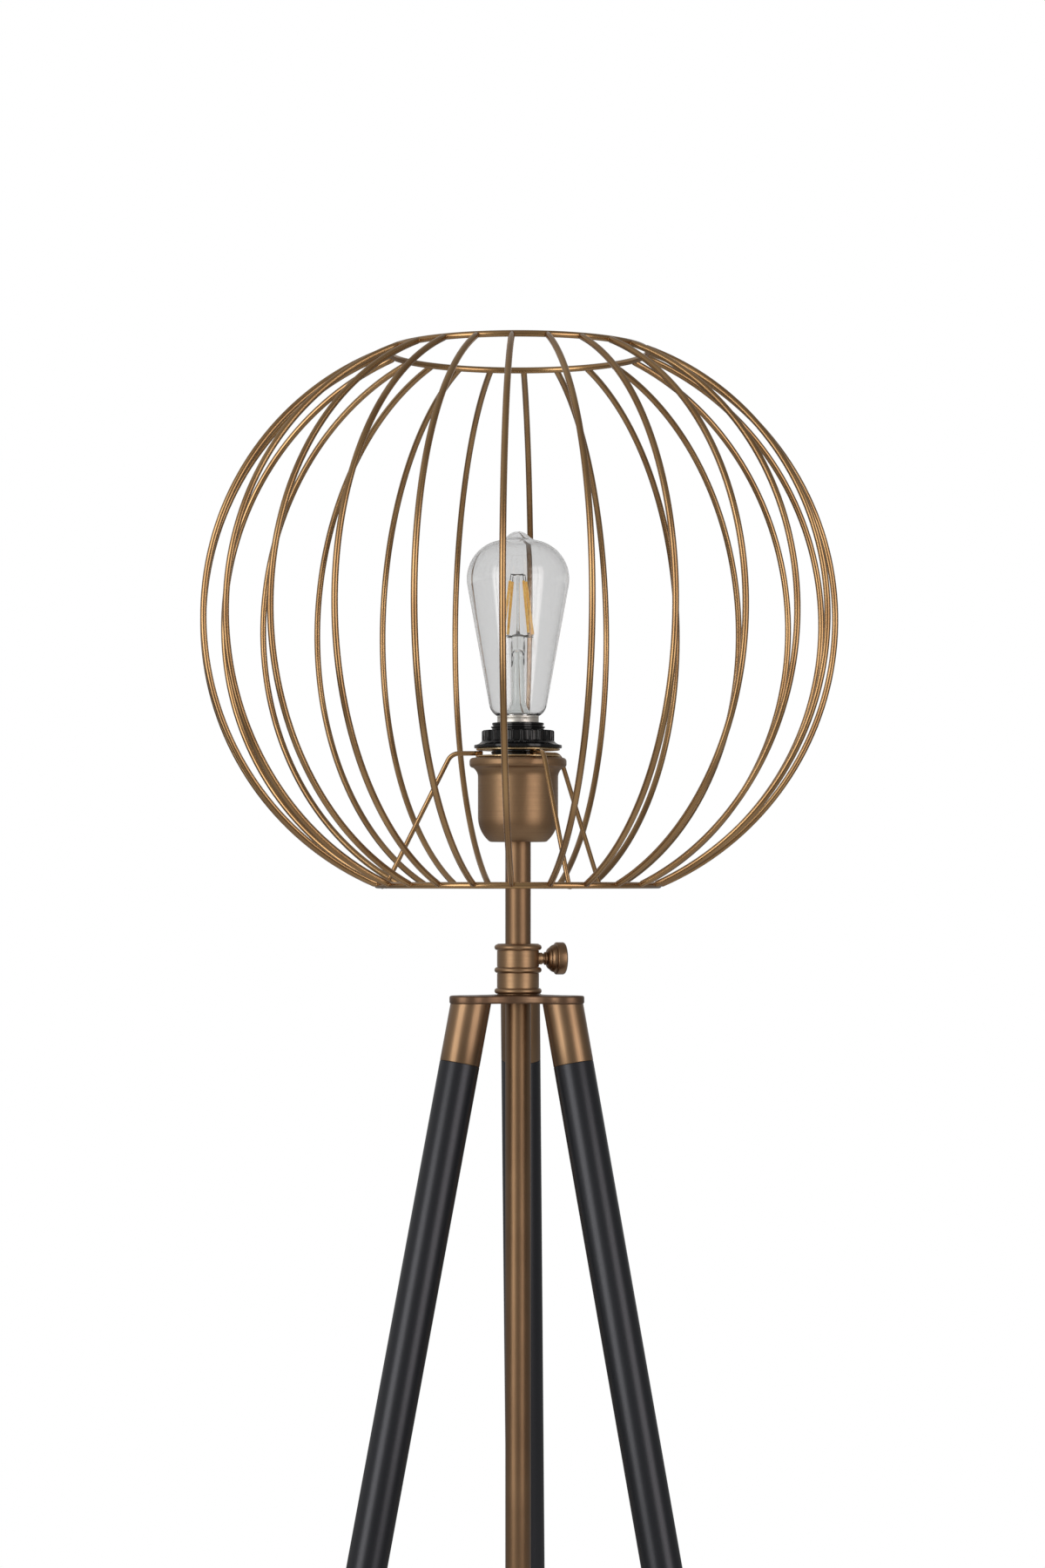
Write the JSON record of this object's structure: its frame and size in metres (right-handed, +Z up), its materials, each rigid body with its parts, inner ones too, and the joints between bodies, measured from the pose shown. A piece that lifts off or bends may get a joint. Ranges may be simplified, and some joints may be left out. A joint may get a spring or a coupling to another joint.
{
  "type": "floor lamp",
  "caption": "Tripod floor lamp with a globe cage of bent wires round a clear filament bulb, on a sliding pole held by a thumb screw in a turned collar.",
  "frame": {"origin": "on the floor, at the centre of the lamp's bounding box seen from above; the pole's axis is 39.1 mm towards -Y of it", "axes": "+Z up along the pole; +Y towards the back leg; the thumb screw points 16 degrees from +X towards +Y"},
  "size_m": [0.4854, 0.4782, 1.524],
  "materials": {
    "antique_brass": "satin, brushed",
    "bright_brass": "satin",
    "bronze_wire": "satin lacquer",
    "black_tube": "satin powder coat",
    "black_bakelite": "semi-gloss",
    "black_rubber": "matt",
    "nylon": "matt",
    "zinc_steel": "satin",
    "cap_nickel": "satin",
    "solder": "satin",
    "clear_glass": "clear",
    "filament_yellow": "satin"
  },
  "bodies": {
    "tripod": {"hub_plate": "antique_brass", "hub_collar": "antique_brass", "collar_screws": "zinc_steel", "leg_bolts": "zinc_steel", "leg_ferrule_1": "antique_brass", "leg_ferrule_2": "antique_brass", "leg_ferrule_3": "antique_brass", "leg_tube_1": "black_tube", "leg_tube_2": "black_tube", "leg_tube_3": "black_tube", "leg_feet": "black_rubber"},
    "swivel": {"swivel_bush": "nylon"},
    "pole": {"center_pole": "antique_brass", "pole_outlet_bush": "black_bakelite", "pole_top_insert": "bright_brass", "threaded_nipple": "zinc_steel", "nipple_lock_nut": "zinc_steel", "socket_cup": "antique_brass", "socket_body": "black_bakelite", "socket_screw_shell": "bright_brass", "socket_centre_contact": "bright_brass", "socket_terminal_screws": "zinc_steel"},
    "clamp": {"clamp_pad": "bright_brass"},
    "thumb_screw": {"thumb_screw": "antique_brass"},
    "cage": {"fitter_ring": "antique_brass", "spider_arms": "bronze_wire", "cage_top_ring": "bronze_wire", "cage_bottom_ring": "bronze_wire", "cage_wire_01": "bronze_wire", "cage_wire_02": "bronze_wire", "cage_wire_03": "bronze_wire", "cage_wire_04": "bronze_wire", "cage_wire_05": "bronze_wire", "cage_wire_06": "bronze_wire", "cage_wire_07": "bronze_wire", "cage_wire_08": "bronze_wire", "cage_wire_09": "bronze_wire", "cage_wire_10": "bronze_wire", "cage_wire_11": "bronze_wire", "cage_wire_12": "bronze_wire", "cage_wire_13": "bronze_wire", "cage_wire_14": "bronze_wire", "cage_wire_15": "bronze_wire", "cage_wire_16": "bronze_wire", "cage_wire_17": "bronze_wire", "cage_wire_18": "bronze_wire", "cage_wire_19": "bronze_wire", "cage_wire_20": "bronze_wire", "cage_wire_21": "bronze_wire", "cage_wire_22": "bronze_wire", "cage_wire_23": "bronze_wire", "cage_wire_24": "bronze_wire"},
    "washer": {"fitter_washer": "bright_brass"},
    "ring_nut": {"ring_nut": "black_bakelite"},
    "bulb_contact": {"bulb_tip_contact": "solder"},
    "bulb": {"bulb_glass": "clear_glass", "bulb_cap": "cap_nickel", "bulb_stem": "clear_glass", "bulb_filaments": "filament_yellow", "bulb_support_wires": "zinc_steel"}
  },
  "joints": [
    {"name": "head_turn", "type": "hinge", "parent": "tripod", "child": "swivel", "pos_m": [0, -0.0391, 1.1318], "axis": [0, 0, 1], "range_deg": [-180, 180]},
    {"name": "pole_height", "type": "slide", "parent": "swivel", "child": "pole", "axis": [0, 0, 1], "range_m": [-0.0634, 0.2]},
    {"name": "clamp_travel", "type": "slide", "parent": "tripod", "child": "clamp", "axis": [0.9613, 0.2756, 0], "range_m": [0, 0.0015]},
    {"name": "thumb_screw_turn", "type": "hinge", "parent": "clamp", "child": "thumb_screw", "pos_m": [0.01923, -0.03359, 1.1427], "axis": [0.9613, 0.2756, 0], "range_deg": [0, 541]},
    {"name": "cage_turn", "type": "hinge", "parent": "pole", "child": "cage", "pos_m": [0, -0.0391, 1.2692], "axis": [0, 0, 1], "continuous": true},
    {"name": "washer_lift", "type": "slide", "parent": "pole", "child": "washer", "axis": [0, 0, 1], "range_m": [0, 0.006]},
    {"name": "ring_nut_turn", "type": "hinge", "parent": "washer", "child": "ring_nut", "pos_m": [0, -0.0391, 1.28], "axis": [0, 0, 1], "range_deg": [0, 1081]},
    {"name": "bulb_lift", "type": "slide", "parent": "pole", "child": "bulb_contact", "axis": [0, 0, 1], "range_m": [0, 0.0179]},
    {"name": "bulb_turn", "type": "hinge", "parent": "bulb_contact", "child": "bulb", "pos_m": [0, -0.0391, 1.29], "axis": [0, 0, 1], "range_deg": [0, 1780]}
  ],
  "couplings": [
    {"joint": "thumb_screw_turn", "follows": "clamp_travel", "rad_per_m": 6283.2},
    {"joint": "ring_nut_turn", "follows": "washer_lift", "rad_per_m": 3141.6},
    {"joint": "bulb_turn", "follows": "bulb_lift", "rad_per_m": 1731.4}
  ]
}
